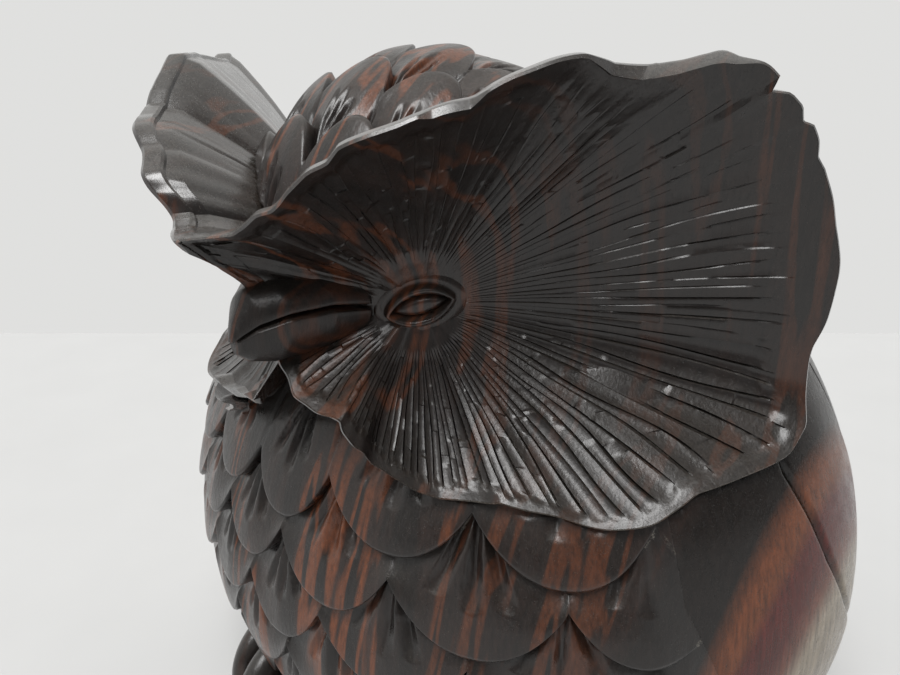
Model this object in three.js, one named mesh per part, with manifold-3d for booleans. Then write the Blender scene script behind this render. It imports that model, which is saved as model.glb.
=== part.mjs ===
// A carved dark-wood owl: round body, two frilled dish-shaped facial discs, a short beak,
// rows of overlapping scale feathers, folded wings, a short tail and two feet.
// The owl faces -Y, its left side is +X and its flat underside rests on Z = 0.
// It is drawn in carving units, which are scaled at the end so that its height is HEIGHT.
import * as THREE from "three";
import Module from "manifold-3d";

const HEIGHT = 126; // mm, base to crown
const GAP = 0.35; // clearance between neighbouring pieces, in carving units like all below

// Body: an egg whose lower part draws in to the base.
const BODY = { z: 48.9, rx: 71.3, ry: 56.9, rz: 72.5 };
const DRAW_IN = 0.4; // share of the width lost at the base
const SHELL_INNER = -2.7; // inside of the feather shells, measured from the body surface
const CORE_INSET = -3.9; // surface of the solid torso
const HEAD_INSET = 3.5; // how far the solid head lies inside the crown

// Crown of the head: an ellipsoid that rises out of the body.
const CROWN = { y: -22.3, z: 104.5, rx: 31.8, ry: 34.3, rz: 35.4 };

// Facial disc of the owl's left side, about the centre of its eye. The right one is its mirror.
const EYE = new THREE.Vector3(14, -42.6, 105);
const DISC_TURN = 42; // degrees that the disc faces away from straight ahead
const DISC_TIP = -4; // degrees that it looks down
const DISH_POWER = 1.7; // how late the dish curls forward towards its rim
const RIM_THICK = 3.2;
const DISC_BULGE = 6.5; // extra thickness behind the eye
const DISC_STEPS = 60; // points round the rim
const DISC_REACH = 34; // how far in front of the rim other pieces are kept away
// Rim: angle round the eye (0 outward, 90 up), radius, and how far the rim curls forward.
const RIM = [
  [-165, 22, 2], [-150, 21, 9], [-134, 16.6, 14], [-120, 18.5, 14.5], [-104, 21, 14],
  [-85, 24.6, 14.9], [-66, 25.6, 17.5], [-53, 31, 20], [-46, 36, 21.5], [-38, 40.4, 21.5],
  [-30, 43.5, 19.5], [-24, 50.8, 17], [-20, 56.5, 13.5], [-16, 59, 10.5], [-12, 58, 8],
  [-5, 57, 8.5], [3, 57.4, 9.5], [12, 57.3, 9.8], [24, 56, 10.3], [33, 55, 10.7],
  [39, 53.6, 11], [44, 50.8, 11], [47, 45.5, 11.5], [50, 42, 12], [62, 40, 14.4],
  [73, 35.3, 16.6], [79, 32.4, 17.8], [95, 28.7, 19.6], [114, 25.4, 18.4], [135, 25.5, 16],
  [148, 27.5, 13.5], [156, 33, 12], [168, 26, 6], [180, 24, 4],
];

// Breast feathers: azimuths where neighbours of a row meet (0 is straight ahead), and row tips.
const FEATHER_EDGES = [-105, -86, -69, -54, -40, -26, -12, 3, 25, 49, 68, 86, 105];
const BREAST_TIPS = [68.5, 56.5, 44.5, 33, 22];
const BREAST_REACH = [60, 62, 70, 84, 100]; // azimuth at which each row ends beside the wing
const BREAST_TOP = 88;
const SCALLOP = 8.5; // how far a tip hangs below the corners beside it
const TUCKED = -1; // where the upper end of a feather lies, measured from the body surface
const ROOM_OUTSIDE = 4; // room kept free outside a cutting shell, in clearances
const ROOM_INSIDE = 2;

// Wing outline by height: front edge, line between coverts and flight feathers, back edge.
const WING_FRONT = [[14, 104], [20, 91], [30, 76], [45, 61], [66, 52], [84, 50], [96, 58]];
const WING_LINE = [[14, 140], [20, 128], [35, 105], [55, 87], [66, 80], [74, 76.5], [81, 73], [96, 72]];
const WING_BACK = [[14, 170], [30, 167], [50, 162], [80, 155], [96, 150]];
const WING_BOTTOM = 14;
const WING_TOP = 101;
const FLIGHT_FEATHERS = 3; // on each wing
const COVERT_RAISE = 0.4; // how far the coverts stand off the body surface
const FLIGHT_RAISE = 0.2; // the first flight feather; each one behind it lies lower
const FLIGHT_STEP = 0.3;
const BACK_RAISE = -0.6;

const rad = THREE.MathUtils.degToRad;
const wasm = await Module();
wasm.setup();

// Straight-line reading of a table of [position, value, value, ...] rows.
function read(table, at, column = 1) {
  const last = table.length - 1;
  if (at <= table[0][0]) return table[0][column];
  if (at >= table[last][0]) return table[last][column];
  const i = table.findIndex((row) => row[0] > at);
  const [a, b] = [table[i - 1], table[i]];
  return THREE.MathUtils.lerp(a[column], b[column], (at - a[0]) / (b[0] - a[0]));
}

// A closed solid from rings of points. Each end is closed by rungs from side to side of its
// ring, so a ring may be a long bent strip as well as a round one; its count is even.
function loft(rings) {
  const count = rings[0].length;
  const faces = [];
  for (let j = 0; j + 1 < rings.length; j++) {
    for (let i = 0; i < count; i++) {
      const a = j * count + i;
      const b = j * count + ((i + 1) % count);
      faces.push(a, b, b + count, a, b + count, a + count);
    }
  }
  const top = (rings.length - 1) * count;
  for (let i = 0; i < count / 2 - 1; i++) {
    const [a, b, c, d] = [i, i + 1, count - 2 - i, count - 1 - i];
    faces.push(a, c, b, a, d, c);
    faces.push(top + a, top + b, top + c, top + a, top + c, top + d);
  }
  return solid(rings.flat(), faces);
}

// A manifold-3d solid from points and triangles, turned to face outwards.
function solid(points, faces) {
  const geometry = new THREE.BufferGeometry().setFromPoints(points);
  const build = (triangles) =>
    new wasm.Manifold(
      new wasm.Mesh({
        numProp: 3,
        vertProperties: geometry.attributes.position.array,
        triVerts: new Uint32Array(triangles),
      }),
    );
  const made = build(faces);
  if (made.volume() > 0) return made;
  return build(faces.map((_, i) => faces[3 * Math.floor(i / 3) + 2 - (i % 3)]));
}

// A shell patch: the ring of each column runs down the outside and back up the inside.
function patch(columns, rows, outside, inside) {
  const shares = Array.from({ length: rows + 1 }, (_, j) => j / rows);
  const rings = columns.map((column) => [
    ...shares.map((share) => outside(column, share)),
    ...shares.toReversed().map((share) => inside(column, share)),
  ]);
  return loft(rings);
}

// A point at an azimuth and a height on the body, or a distance off its surface.
function onBody(azimuth, z, off = 0) {
  const rise = (z - BODY.z) / (BODY.rz + off);
  const above = Math.sqrt(Math.max(1 - rise * rise, 0.002));
  const below = 1 - DRAW_IN * Math.max(1 - z / BODY.z, 0) ** 2.2;
  const width = z < BODY.z ? below : above;
  const a = rad(azimuth);
  return new THREE.Vector3(
    (BODY.rx + off) * width * Math.sin(a),
    -(BODY.ry + off) * width * Math.cos(a),
    z,
  );
}

function bodySolid(off) {
  const top = BODY.z + BODY.rz + off;
  const heights = [0, 9, 19, 30, 41, 52, 65, 78, 90, 101, 110, 116, top - 0.2];
  const around = 40;
  const rings = heights.map((z) =>
    Array.from({ length: around }, (_, i) => onBody((i * 360) / around, z, off)),
  );
  return loft(rings);
}

function ellipsoid(centre, radii, segments) {
  return wasm.Manifold.sphere(1, segments).scale(radii).translate(centre);
}

function largest(shape) {
  return shape.decompose().reduce((a, b) => (b.volume() > a.volume() ? b : a));
}

function cut(shape, ...cutters) {
  return largest(cutters.reduce((rest, cutter) => rest.subtract(cutter), shape));
}

function mirrored(shape) {
  return shape.mirror([1, 0, 0]);
}

// --- facial discs -----------------------------------------------------------------------

const discU = new THREE.Vector3(Math.cos(rad(DISC_TURN)), Math.sin(rad(DISC_TURN)), 0);
const discN = new THREE.Vector3(
  Math.cos(rad(DISC_TIP)) * Math.sin(rad(DISC_TURN)),
  -Math.cos(rad(DISC_TIP)) * Math.cos(rad(DISC_TURN)),
  Math.sin(rad(DISC_TIP)),
);
const discV = new THREE.Vector3().crossVectors(discN, discU);

// A point of the disc at an angle, a share of the rim radius and a forward distance.
function onDisc(angle, share, forward, grow = 0) {
  const r = share * (read(RIM, angle) + grow);
  return EYE.clone()
    .addScaledVector(discU, r * Math.cos(rad(angle)))
    .addScaledVector(discV, r * Math.sin(rad(angle)))
    .addScaledVector(discN, forward);
}

function dish(angle, share) {
  return read(RIM, angle, 2) * share ** DISH_POWER;
}

// One ring of the disc, a distance in front of its dish.
function discRing(share, forward, grow = 0) {
  return Array.from({ length: DISC_STEPS }, (_, i) => {
    const angle = -180 + (i * 360) / DISC_STEPS;
    return onDisc(angle, share, dish(angle, share) + forward, grow);
  });
}

function discBack(grow) {
  const depth = (share) => -RIM_THICK - DISC_BULGE * (1 - share ** 2) - grow;
  return [1, 0.7, 0.35].map((share) => discRing(share, depth(share), grow));
}

function discSolid() {
  const front = [0.2, 0.5, 0.78, 1].map((share) => discRing(share, 0));
  return loft([...front, discRing(1.012, -RIM_THICK / 2), ...discBack(0)]);
}

// The room that a disc takes: its back, and everything in front of its rim.
function discRoom() {
  return loft([discRing(1.012, DISC_REACH, GAP), ...discBack(2 * GAP)]);
}

const leftDisc = largest(discSolid().trimByPlane([1, 0, 0], GAP / 2));
const discHollow = discRoom();
const discHollows = discHollow.add(mirrored(discHollow));

// --- feathers ---------------------------------------------------------------------------

// Height of a scalloped feather edge: tips halfway between the given edges.
function scallop(edges, tip, depth, at) {
  const i = Math.max(edges.findIndex((edge) => edge > at), 1);
  const half = (edges[i] - edges[i - 1]) / 2;
  const side = Math.min(Math.abs(at - (edges[i] + edges[i - 1]) / 2) / half, 1);
  return tip + depth * side ** 2.2;
}

function midpoints(edges) {
  return edges.slice(1).map((edge, i) => (edge + edges[i]) / 2);
}

// Where the columns of a row lie: its corners and tips, with even steps from one to the next.
function columnsOver(edges, from, to, steps) {
  const marks = [...edges, ...midpoints(edges)].sort((a, b) => a - b);
  const inside = marks.filter((mark) => mark >= from && mark <= to);
  const columns = [inside[0]];
  for (let i = 1; i < inside.length; i++) {
    for (let k = 1; k <= steps; k++) {
      columns.push(THREE.MathUtils.lerp(inside[i - 1], inside[i], k / steps));
    }
  }
  return columns;
}

// One row of feathers: tucked under the row before it, raised at its own scalloped edge.
function featherRow(columns, start, end, place, thick, grow = 0) {
  const along = (a, t) => THREE.MathUtils.lerp(start(a), end(a) - grow, t);
  return patch(
    columns,
    2,
    (a, t) => place(a, along(a, t), TUCKED + thick * t + grow * ROOM_OUTSIDE),
    (a, t) => place(a, along(a, t), SHELL_INNER - grow * ROOM_INSIDE),
  );
}

function breastRow(i) {
  const even = FEATHER_EDGES;
  const odd = midpoints(even);
  const own = i % 2 ? odd : even;
  const before = i % 2 ? even : odd;
  const start = (a) => (i ? scallop(before, BREAST_TIPS[i - 1], SCALLOP, a) - GAP : BREAST_TOP);
  const end = (a) => scallop(own, BREAST_TIPS[i], SCALLOP, a);
  const columns = columnsOver(FEATHER_EDGES, -BREAST_REACH[i], BREAST_REACH[i], 3);
  return featherRow(columns, start, end, onBody, 2.2);
}

// A point on the crown: sideways angle, angle from the forehead over the top, distance off it.
function onCrown(side, over, off) {
  const [x, o] = [rad(side), rad(over)];
  return new THREE.Vector3(
    (CROWN.rx + off) * Math.sin(x),
    CROWN.y - (CROWN.ry + off) * Math.cos(x) * Math.cos(o),
    CROWN.z + (CROWN.rz + off) * Math.cos(x) * Math.sin(o),
  );
}

const CROWN_EDGES = [-88, -66, -44, -22, 0, 22, 44, 66, 88];
const CROWN_TIPS = [48, 70, 92, 114, 136];
const CROWN_START = 8; // where the first row starts above the forehead
const CROWN_SCALLOP = -13; // crown feathers point up and back

function crownRow(i) {
  const odd = midpoints(CROWN_EDGES);
  const own = i % 2 ? odd : CROWN_EDGES;
  const before = i % 2 ? CROWN_EDGES : odd;
  const lower = (a) => scallop(before, CROWN_TIPS[i - 1], CROWN_SCALLOP, a) + 2 * GAP;
  const start = (a) => (i ? lower(a) : CROWN_START);
  const end = (a) => scallop(own, CROWN_TIPS[i], CROWN_SCALLOP, a);
  return featherRow(columnsOver(CROWN_EDGES, -78, 78, 2), start, end, onCrown, 1.8);
}

const NAPE_EDGES = [30, 55, 80, 105, 130, 155, 180, 205, 230, 255, 280, 305, 330];
const NAPE_TIPS = [106, 94];
const NAPE_TOP = 117.5;
const NAPE_SCALLOP = 7;

function napeRow(i, grow = 0) {
  const odd = midpoints(NAPE_EDGES);
  const own = i % 2 ? odd : NAPE_EDGES;
  const before = i % 2 ? NAPE_EDGES : odd;
  const upper = (a) => scallop(before, NAPE_TIPS[i - 1], NAPE_SCALLOP, a) - 2 * GAP;
  const start = (a) => (i ? upper(a) : NAPE_TOP);
  const end = (a) => scallop(own, NAPE_TIPS[i], NAPE_SCALLOP, a);
  return featherRow(columnsOver(NAPE_EDGES, 50, 310, 2), start, end, onBody, 2, grow);
}

// --- wings, back and tail ---------------------------------------------------------------

// A smooth shell between two edges given by height, with its outside raised by a few tenths.
function wingPatch(columns, from, to, raise, grow = 0) {
  const shares = Array.from({ length: columns + 1 }, (_, i) => i / columns);
  const place = (s, t, off) => {
    const drop = Math.sin((t * Math.PI) / 2); // rows lie closer together towards the wing tip
    const z = THREE.MathUtils.lerp(WING_TOP + grow, WING_BOTTOM - grow, drop);
    return onBody(THREE.MathUtils.lerp(read(from, z) - grow, read(to, z) + grow, s), z, off);
  };
  return patch(
    shares,
    9,
    (s, t) => place(s, t, raise + grow * ROOM_OUTSIDE),
    (s, t) => place(s, t, SHELL_INNER - grow),
  );
}

// An edge table part of the way between two others, moved round by a few tenths of a degree.
function between(from, to, share, shift = 0) {
  return to.map(([z, a]) => [z, THREE.MathUtils.lerp(read(from, z), a, share) + shift]);
}

const shift = (table, by) => table.map(([z, a]) => [z, a + by]);
const opposite = (table) => table.map(([z, a]) => [z, 360 - a]);

// Sections of the tail, from the base upwards: z, y of the middle, half-width, half-depth.
const TAIL = [[0, 48, 15, 5], [16, 47, 13, 5], [30, 46, 10, 4.5], [44, 44, 7, 3]];

function tailSolid() {
  const around = 20;
  const rings = TAIL.map(([z, y, halfWidth, halfDepth]) =>
    Array.from({ length: around }, (_, i) => {
      const a = (i * 2 * Math.PI) / around;
      return new THREE.Vector3(halfWidth * Math.cos(a), y + halfDepth * Math.sin(a), z);
    }),
  );
  return loft(rings);
}

// --- feet, eyes and beak ----------------------------------------------------------------

const TOES = [[16, -44, 11], [25, -43, 12], [33.5, -38, 11]]; // centres of the left foot's toes
const TOE = [5.2, 13, 12.4]; // radii of one toe

function footSolid(grow = 0) {
  const radii = TOE.map((r) => r + grow);
  const toes = TOES.map((centre) => ellipsoid(centre, radii, 12));
  return toes.reduce((a, b) => a.add(b)).trimByPlane([0, 0, 1], 0);
}

// A ring of points round the eye: half-width, half-height, and how far forward it stands.
function eyeRing(halfWidth, halfHeight, forward, count = 20) {
  const slant = rad(8);
  return Array.from({ length: count }, (_, i) => {
    const a = (i * 2 * Math.PI) / count;
    const x = halfWidth * Math.cos(a);
    const y = halfHeight * Math.sin(a) * (1 - 0.35 * Math.abs(Math.cos(a)) ** 3);
    return EYE.clone()
      .addScaledVector(discU, x * Math.cos(slant) - y * Math.sin(slant))
      .addScaledVector(discV, x * Math.sin(slant) + y * Math.cos(slant))
      .addScaledVector(discN, forward);
  });
}

const eyeHole = loft([eyeRing(7.6, 5, -1.4), eyeRing(7.6, 5, 12)]);
const leftLids = cut(
  loft([eyeRing(7.3, 4.7, -1.1), eyeRing(7.3, 4.7, 1.6), eyeRing(5.9, 3.4, 2.8), eyeRing(5.2, 2.7, 2.7)]),
  loft([eyeRing(4.6, 2.1, 0.1), eyeRing(4.6, 2.1, 9)]),
);
const leftEyeball = loft([
  eyeRing(4.3, 1.8, 0.4),
  eyeRing(4.1, 1.6, 1.3),
  eyeRing(2.4, 0.9, 1.9),
]);

// Half of the beak, by sections square to Y: each is [y, half-width, bottom, ridge].
function beakHalf(sections, grow = 0) {
  const rings = sections.map(([y, halfWidth, bottom, ridge], i) => {
    const shoulder = THREE.MathUtils.lerp(bottom, ridge, 0.62) + grow / 2;
    const corner = (x, z) => new THREE.Vector3(x, i ? y - grow : y + 2 * grow, z);
    return [
      corner(0, bottom - 0.25 - grow),
      corner(halfWidth + grow, bottom - grow),
      corner(halfWidth * 0.62 + grow, shoulder),
      corner(0, ridge + grow),
      corner(-halfWidth * 0.62 - grow, shoulder),
      corner(-halfWidth - grow, bottom - grow),
    ];
  });
  return loft(rings);
}

const UPPER_BEAK = [
  [-48, 9.5, 105.2, 110.5], [-54, 8, 106.2, 111.5], [-60, 5.8, 106, 110.8],
  [-63.3, 3.3, 104.8, 109.2], [-65, 1.6, 103.4, 105.8], [-65.9, 0.5, 102.4, 103.2],
];
const LOWER_BEAK = [
  [-48, 9.5, 98.9, 104.6], [-54, 8.4, 97.8, 105.6], [-60, 6, 98, 105.3],
  [-63.5, 3.3, 99, 103.9], [-65.2, 1.2, 100.4, 102.3],
];
const beakRoom = beakHalf(UPPER_BEAK, GAP).add(beakHalf(LOWER_BEAK, 2.4 * GAP));

// --- assembly ---------------------------------------------------------------------------

const EBONY = { color: 0x2a1c17, roughness: 0.42, metalness: 0 };
const STRIPED = { color: 0x4a2416, roughness: 0.36, metalness: 0 };
const POLISHED = { color: 0x6b2a18, roughness: 0.25, metalness: 0 };
const BROWN = { color: 0x3c1d12, roughness: 0.4, metalness: 0 };

const carving = new THREE.Group();

function addNode(name, shape, look) {
  const mesh = shape.getMesh();
  const geometry = new THREE.BufferGeometry();
  geometry.setAttribute("position", new THREE.BufferAttribute(mesh.vertProperties, mesh.numProp));
  geometry.setIndex(new THREE.BufferAttribute(mesh.triVerts, 1));
  geometry.computeVertexNormals();
  const node = new THREE.Mesh(geometry, new THREE.MeshStandardMaterial(look));
  node.name = name;
  carving.add(node);
}

function addPair(name, leftShape, look) {
  addNode(`${name}_left`, leftShape, look);
  addNode(`${name}_right`, mirrored(leftShape), look);
}

const feetHollow = footSolid(GAP).add(mirrored(footSolid(GAP)));
const tail = cut(tailSolid(), bodySolid(GAP));
const wingHollow = wingPatch(16, WING_FRONT, WING_BACK, 2, 0.8); // room for a whole wing
const bodyHollow = bodySolid(1.7); // room for the body and the nape feathers on it
const napeHollow = napeRow(1, GAP);

const headRadii = [CROWN.rx, CROWN.ry, CROWN.rz].map((radius) => radius - HEAD_INSET);
addNode("torso", cut(bodySolid(CORE_INSET), discHollows, feetHollow), EBONY);
addNode("head", cut(
  ellipsoid([0, CROWN.y, CROWN.z], headRadii, 20),
  discHollows,
  bodyHollow,
  beakRoom,
), EBONY);
addPair("facial_disc", cut(leftDisc, beakRoom, eyeHole), EBONY);
addPair("eyelids", leftLids, BROWN);
addPair("eyeball", leftEyeball, EBONY);
addNode("upper_beak", beakHalf(UPPER_BEAK), BROWN);
addNode("lower_beak", beakHalf(LOWER_BEAK), BROWN);
for (let i = 0; i < CROWN_TIPS.length; i++) {
  addNode(`crown_feathers_${i + 1}`, cut(crownRow(i), discHollows, bodyHollow), STRIPED);
}
for (let i = 0; i < NAPE_TIPS.length; i++) {
  addNode(`nape_feathers_${i + 1}`, cut(napeRow(i), discHollows), STRIPED);
}
for (let i = 0; i < BREAST_TIPS.length; i++) {
  addNode(
    `breast_feathers_${i + 1}`,
    cut(breastRow(i), discHollows, wingHollow, mirrored(wingHollow), feetHollow),
    STRIPED,
  );
}

const coverts = wingPatch(8, WING_FRONT, shift(WING_LINE, -0.3), COVERT_RAISE);
addPair("wing_coverts", cut(coverts, napeHollow, discHollows), POLISHED);
for (let i = 0; i < FLIGHT_FEATHERS; i++) {
  const front = between(WING_LINE, WING_BACK, i / FLIGHT_FEATHERS, 0.3);
  const back = between(WING_LINE, WING_BACK, (i + 1) / FLIGHT_FEATHERS, -0.3);
  const feather = wingPatch(4, front, back, FLIGHT_RAISE - FLIGHT_STEP * i);
  addPair(`flight_feather_${i + 1}`, cut(feather, napeHollow, discHollows), POLISHED);
}
const backEdges = [shift(WING_BACK, 0.6), shift(opposite(WING_BACK), -0.6)];
addNode("back", cut(wingPatch(6, ...backEdges, BACK_RAISE), napeHollow), STRIPED);
addNode("tail", tail, STRIPED);
addPair("foot", cut(footSolid(), bodySolid(CORE_INSET + GAP)), EBONY);

const size = new THREE.Box3().setFromObject(carving);
const scale = HEIGHT / size.max.z;
carving.scale.setScalar(scale);
carving.position.y = (-scale * (size.min.y + size.max.y)) / 2;

export default carving;
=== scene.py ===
"""A carved dark-wood owl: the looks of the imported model, built around its frame.

Every piece is computed in the carving units of the model (CARVING_HEIGHT of them from the base to
the crown) and placed in metres with place(). The owl faces -Y and its left side is +X.
"""

import math

import bpy
import numpy as np
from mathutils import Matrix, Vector


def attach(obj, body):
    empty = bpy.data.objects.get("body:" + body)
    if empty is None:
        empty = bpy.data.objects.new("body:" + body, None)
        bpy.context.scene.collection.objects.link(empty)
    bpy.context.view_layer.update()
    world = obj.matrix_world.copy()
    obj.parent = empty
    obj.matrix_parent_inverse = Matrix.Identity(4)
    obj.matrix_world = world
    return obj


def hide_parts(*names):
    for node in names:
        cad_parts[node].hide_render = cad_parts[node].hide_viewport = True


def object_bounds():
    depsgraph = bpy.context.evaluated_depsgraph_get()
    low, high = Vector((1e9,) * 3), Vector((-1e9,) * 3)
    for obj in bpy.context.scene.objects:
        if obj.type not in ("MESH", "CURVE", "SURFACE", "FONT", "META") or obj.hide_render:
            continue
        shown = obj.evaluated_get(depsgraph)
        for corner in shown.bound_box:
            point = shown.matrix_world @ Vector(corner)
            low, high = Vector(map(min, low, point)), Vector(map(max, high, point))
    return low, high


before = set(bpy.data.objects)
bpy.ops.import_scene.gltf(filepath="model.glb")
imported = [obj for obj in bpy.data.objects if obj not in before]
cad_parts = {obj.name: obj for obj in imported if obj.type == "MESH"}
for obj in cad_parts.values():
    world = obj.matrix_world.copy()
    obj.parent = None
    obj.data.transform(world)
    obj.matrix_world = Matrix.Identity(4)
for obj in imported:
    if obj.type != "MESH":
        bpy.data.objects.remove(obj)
CAD_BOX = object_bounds()

CARVING_HEIGHT = 140.53  # the owl's height in carving units
BOX_MIDDLE_Y = -8.0734  # the middle of the model's depth, in carving units
UNIT = CAD_BOX[1].z / CARVING_HEIGHT  # metres in a carving unit

# --- the carving's own shapes, in carving units -------------------------------------------

BODY_Z, BODY_RX, BODY_RY, BODY_RZ = 48.9, 71.3, 56.9, 72.5
DRAW_IN = 0.4
SHELL_INNER = -2.7
CORE_INSET = -3.9
CROWN_Y, CROWN_Z, CROWN_RX, CROWN_RY, CROWN_RZ = -22.3, 104.5, 31.8, 34.3, 35.4

EYE = np.array([14.0, -42.6, 105.0])
DISC_TURN, DISC_TIP = math.radians(42), math.radians(-4)
DISC_U = np.array([math.cos(DISC_TURN), math.sin(DISC_TURN), 0.0])
DISC_N = np.array([
    math.cos(DISC_TIP) * math.sin(DISC_TURN),
    -math.cos(DISC_TIP) * math.cos(DISC_TURN),
    math.sin(DISC_TIP),
])
DISC_V = np.cross(DISC_N, DISC_U)
DISH_POWER = 1.7
RIM_THICK = 3.2
DISC_BULGE = 6.5
MIDDLE_GAP = 0.18  # half the gap between the two discs at the middle of the face
RIM = np.array([
    [-165, 22, 2], [-150, 21, 9], [-134, 16.6, 14], [-120, 18.5, 14.5], [-104, 21, 14],
    [-85, 24.6, 14.9], [-66, 25.6, 17.5], [-53, 31, 20], [-46, 36, 21.5], [-38, 40.4, 21.5],
    [-30, 43.5, 19.5], [-24, 50.8, 17], [-20, 56.5, 13.5], [-16, 59, 10.5], [-12, 58, 8],
    [-5, 57, 8.5], [3, 57.4, 9.5], [12, 57.3, 9.8], [24, 56, 10.3], [33, 55, 10.7],
    [39, 53.6, 11], [44, 50.8, 11], [47, 45.5, 11.5], [50, 42, 12], [62, 40, 14.4],
    [73, 35.3, 16.6], [79, 32.4, 17.8], [95, 28.7, 19.6], [114, 25.4, 18.4], [135, 25.5, 16],
    [148, 27.5, 13.5], [156, 33, 12], [168, 26, 6], [180, 24, 4],
])

FEATHER_EDGES = np.array([-105, -86, -69, -54, -40, -26, -12, 3, 25, 49, 68, 86, 105.0])
BREAST_TIPS = [68.5, 56.5, 44.5, 33, 22]
BREAST_REACH = [60, 62, 70, 84, 100]
BREAST_TOP = 88
SCALLOP = 8.5
CROWN_EDGES = np.array([-88, -66, -44, -22, 0, 22, 44, 66, 88.0])
CROWN_TIPS = [48, 70, 92, 114, 136]
CROWN_START, CROWN_SCALLOP = 8, -13
NAPE_EDGES = np.array([30, 55, 80, 105, 130, 155, 180, 205, 230, 255, 280, 305, 330.0])
NAPE_TIPS = [106, 94]
NAPE_TOP, NAPE_SCALLOP = 117.5, 7

WING_FRONT = [[14, 104], [20, 91], [30, 76], [45, 61], [66, 52], [84, 50], [96, 58]]
WING_LINE = [[14, 140], [20, 128], [35, 105], [55, 87], [66, 80], [74, 76.5], [81, 73], [96, 72]]
WING_BACK = [[14, 170], [30, 167], [50, 162], [80, 155], [96, 150]]
WING_BOTTOM, WING_TOP = 14, 101
WING_RAISE = 0.5  # how far the covert shell stands off the body
BACK_DROP = 0.9  # how deep the line behind each part of the wing is


def place(points):
    """Carving units to metres in the frame."""
    points = np.array(points, float)
    points[..., 1] -= BOX_MIDDLE_Y
    return points * UNIT


def mirror(points):
    return points * np.array([-1.0, 1.0, 1.0])


def smoothstep(value):
    value = np.clip(value, 0, 1)
    return value * value * (3 - 2 * value)


def ripple(x, seed, waves=6, low=0.5, high=3.0):
    """Smooth seeded noise of one variable, about -1 to 1."""
    rng = np.random.default_rng(seed)
    x = np.asarray(x, float)
    total = np.zeros_like(x)
    for _ in range(waves):
        total += np.sin(x * rng.uniform(low, high) + rng.uniform(0, 2 * math.pi))
    return total / math.sqrt(waves)


def on_body(azimuth, z, off=0.0):
    """Points of the egg-shaped body; azimuth 0 is straight ahead and 90 the owl's left."""
    azimuth, z, off = np.broadcast_arrays(azimuth, z, off)
    rise = (z - BODY_Z) / (BODY_RZ + off)
    above = np.sqrt(np.maximum(1 - rise * rise, 0.002))
    below = 1 - DRAW_IN * np.maximum(1 - z / BODY_Z, 0) ** 2.2
    width = np.where(z < BODY_Z, below, above)
    a = np.radians(azimuth)
    return np.stack([
        (BODY_RX + off) * width * np.sin(a),
        -(BODY_RY + off) * width * np.cos(a),
        z + 0 * a,
    ], -1)


def on_crown(side, over, off=0.0):
    """Points of the crown dome: sideways angle, and angle from the forehead over the top."""
    side, over, off = np.broadcast_arrays(side, over, off)
    x, o = np.radians(side), np.radians(over)
    return np.stack([
        (CROWN_RX + off) * np.sin(x),
        CROWN_Y - (CROWN_RY + off) * np.cos(x) * np.cos(o),
        CROWN_Z + (CROWN_RZ + off) * np.cos(x) * np.sin(o),
    ], -1)


# --- meshes -------------------------------------------------------------------------------


def loft(name, rings, dust_and_painted_light=None, closed=True):
    """A mesh from rings of points, [ring, point, xyz] in carving units, each end an n-gon."""
    rings = np.asarray(rings, float)
    count, size = rings.shape[:2]
    index = np.arange(count * size).reshape(count, size)
    here, there = index[:-1], index[1:]
    quads = np.stack([
        here, np.roll(here, -1, 1), np.roll(there, -1, 1), there,
    ], -1).reshape(-1, 4)
    faces = quads.tolist()
    if closed:
        faces += [index[0][::-1].tolist(), index[-1].tolist()]
    points = rings.reshape(-1, 3)
    if signed_volume(points, quads) < 0:
        faces = [face[::-1] for face in faces]
    mesh = bpy.data.meshes.new(name)
    mesh.from_pydata(place(points).tolist(), [], faces)
    # Per-point mask of painted shade in cuts, seams and tucks, which also marks where dust lies.
    if dust_and_painted_light is not None:
        layer = mesh.attributes.new("dust_and_painted_light", "FLOAT", "POINT")
        layer.data.foreach_set("value", np.asarray(dust_and_painted_light, np.float32).reshape(-1))
    mesh.polygons.foreach_set("use_smooth", np.ones(len(mesh.polygons), bool))
    mesh.update()
    piece = bpy.data.objects.new(name, mesh)
    bpy.context.scene.collection.objects.link(piece)
    return piece


def signed_volume(points, quads):
    a, b, c, d = (points[quads[:, i]] for i in range(4))
    return np.einsum("ij,ij->", a, np.cross(b, c)) + np.einsum("ij,ij->", a, np.cross(c, d))


def finish_piece(piece, node, material):
    piece.data.materials.append(material)
    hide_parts(node)
    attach(piece, "root")


# --- facial discs -------------------------------------------------------------------------


def rim_profile(angle, column, soft=1.4):
    """Rim radius or forward curl, with the corners of the outline softened."""
    fine = np.arange(-540, 540, 0.25)
    knots = np.concatenate([RIM[:, 0] - 360, RIM[:, 0], RIM[:, 0] + 360])
    values = np.interp(fine, knots, np.tile(RIM[:, column], 3))
    reach = np.arange(-24, 25) * 0.25
    kernel = np.exp(-((reach / soft) ** 2))
    values = np.convolve(values, kernel / kernel.sum(), "same")
    return np.interp(angle, fine, values)


def disc_frame(points):
    """Angle, radius and forward distance of points, about the left eye."""
    local = points - EYE
    across, up = local @ DISC_U, local @ DISC_V
    return np.degrees(np.arctan2(up, across)), np.hypot(across, up), local @ DISC_N


def behind_disc(points, gap):
    """Pushes what would stick out through a disc back behind it. Works on both sides."""
    side = np.where(points[..., :1] < 0, -1.0, 1.0)
    left = points * np.concatenate([side, np.ones_like(side), np.ones_like(side)], -1)
    angle, radius, forward = disc_frame(left)
    rim = rim_profile(angle, 1)
    share = np.clip(radius / rim, 0, 1)
    back = rim_profile(angle, 2) * share**DISH_POWER - RIM_THICK - DISC_BULGE * (1 - share**2)
    excess = np.where(radius < rim + 0.8, np.maximum(forward - (back - gap), 0), 0)
    excess = np.where(excess < 34, excess, 0)
    left = left - excess[..., None] * DISC_N
    left[..., 0] = np.maximum(left[..., 0], 0)
    return left * np.concatenate([side, np.ones_like(side), np.ones_like(side)], -1)


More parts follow.
